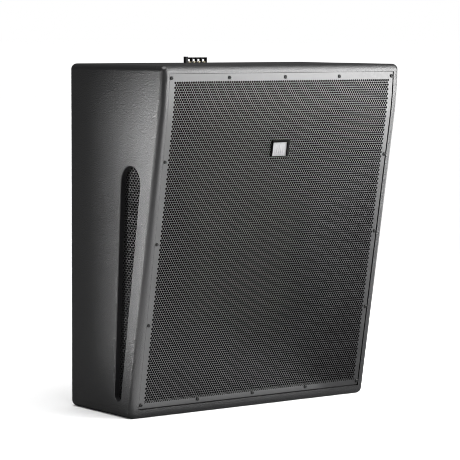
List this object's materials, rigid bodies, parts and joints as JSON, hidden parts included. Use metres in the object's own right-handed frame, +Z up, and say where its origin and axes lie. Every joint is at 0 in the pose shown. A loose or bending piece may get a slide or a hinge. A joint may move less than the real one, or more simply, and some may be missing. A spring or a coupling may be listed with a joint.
{
  "type": "full-range loudspeaker",
  "caption": "Wedge-fronted full-range loudspeaker: black rounded cabinet, curved perforated steel grille, tapered side ports, terminal strip on top.",
  "frame": {"origin": "middle of the bounding rectangle seen from above, at the height of the flat underside", "axes": "+X to the right seen from the front, +Y towards the back, +Z up; the front faces -Y"},
  "size_m": [0.694, 0.3896, 0.8299],
  "materials": {
    "cabinet_paint": "black textured paint on birch plywood",
    "baffle_ply": "flat black paint on plywood",
    "brace_ply": "bare plywood",
    "lining_felt": "needled polyester wadding",
    "insert_steel": "zinc plated",
    "insert_brass": "plain brass",
    "grille_steel": "semi-gloss black powder coat",
    "grille_foam": "open-cell foam",
    "black_screw": "black oxide",
    "badge_black": "moulded",
    "badge_silver": "satin anodised",
    "port_mesh_steel": "black powder coat",
    "port_duct_plastic": "moulded",
    "strip_plastic": "moulded phenolic",
    "clamp_screw_steel": "nickel plated",
    "driver_frame": "black paint on cast aluminium",
    "gasket_foam": "closed-cell foam",
    "surround_cloth": "doped cloth",
    "cone_paper": "treated paper",
    "coil_copper": "enamelled copper wire",
    "motor_steel": "zinc plated",
    "ferrite": "sintered ferrite",
    "horn_plastic": "moulded",
    "diaphragm_foil": "titanium foil",
    "board_laminate": "glass epoxy laminate",
    "capacitor_film": "film wrap"
  },
  "bodies": {
    "cabinet": {"left_side_panel": "cabinet_paint", "right_side_panel": "cabinet_paint", "top_panel": "cabinet_paint", "bottom_panel": "cabinet_paint", "back_panel": "cabinet_paint", "front_baffle": "baffle_ply", "left_grille_batten": "baffle_ply", "right_grille_batten": "baffle_ply", "top_grille_batten": "baffle_ply", "bottom_grille_batten": "baffle_ply", "cross_brace": "brace_ply", "baffle_strut": "brace_ply", "back_lining": "lining_felt", "left_lining": "lining_felt", "right_lining": "lining_felt", "wall_bracket_inserts": "insert_steel", "woofer_tee_nuts": "insert_steel", "grille_screw_inserts": "insert_brass", "terminal_contacts": "insert_brass", "front_grille": "grille_steel", "grille_foam": "grille_foam", "grille_screws": "black_screw", "woofer_screws": "black_screw", "horn_screws": "black_screw", "hf_mounting_bolts": "black_screw", "terminal_strip_screws": "black_screw", "badge_frame": "badge_black", "badge_plate": "badge_silver", "left_port_mesh": "port_mesh_steel", "right_port_mesh": "port_mesh_steel", "left_port_duct": "port_duct_plastic", "right_port_duct": "port_duct_plastic", "terminal_strip_body": "strip_plastic", "terminal_marker_bar": "strip_plastic", "woofer_frame": "driver_frame", "hf_rear_cover": "driver_frame", "woofer_gasket": "gasket_foam", "woofer_surround": "surround_cloth", "woofer_spider": "surround_cloth", "crossover_coils": "coil_copper", "woofer_top_plate": "motor_steel", "woofer_back_plate": "motor_steel", "hf_pole_piece": "motor_steel", "hf_top_plate": "motor_steel", "woofer_magnet": "ferrite", "hf_magnet": "ferrite", "horn": "horn_plastic", "hf_phase_plug": "horn_plastic", "crossover_board": "board_laminate", "crossover_spacers": "board_laminate", "crossover_capacitors": "capacitor_film"},
    "cone_assembly": {"woofer_cone": "cone_paper", "woofer_dust_cap": "cone_paper", "woofer_voice_coil": "coil_copper"},
    "hf_diaphragm_body": {"hf_diaphragm": "diaphragm_foil"},
    "clamp_screw_1": {"terminal_screw_1": "clamp_screw_steel"},
    "clamp_screw_2": {"terminal_screw_2": "clamp_screw_steel"},
    "clamp_screw_3": {"terminal_screw_3": "clamp_screw_steel"},
    "clamp_screw_4": {"terminal_screw_4": "clamp_screw_steel"}
  },
  "joints": [
    {"name": "cone_slide", "type": "slide", "parent": "cabinet", "child": "cone_assembly", "axis": [0, -0.9854, -0.1702], "range_m": [-0.004, 0.004], "stiffness_N_per_m": 3000, "deforming": ["woofer_surround", "woofer_spider"]},
    {"name": "diaphragm_slide", "type": "slide", "parent": "cabinet", "child": "hf_diaphragm_body", "axis": [0, -0.9854, -0.1702], "range_m": [-0.0003, 0.0003], "stiffness_N_per_m": 1500},
    {"name": "clamp_screw_1_turn", "type": "hinge", "parent": "cabinet", "child": "clamp_screw_1", "pos_m": [-0.02045, 0.16425, 0.8173], "axis": [0, 0, 1], "range_deg": [0, 900]},
    {"name": "clamp_screw_2_turn", "type": "hinge", "parent": "cabinet", "child": "clamp_screw_2", "pos_m": [-0.00615, 0.16425, 0.8173], "axis": [0, 0, 1], "range_deg": [0, 900]},
    {"name": "clamp_screw_3_turn", "type": "hinge", "parent": "cabinet", "child": "clamp_screw_3", "pos_m": [0.00815, 0.16425, 0.8173], "axis": [0, 0, 1], "range_deg": [0, 900]},
    {"name": "clamp_screw_4_turn", "type": "hinge", "parent": "cabinet", "child": "clamp_screw_4", "pos_m": [0.02245, 0.16425, 0.8173], "axis": [0, 0, 1], "range_deg": [0, 900]}
  ]
}
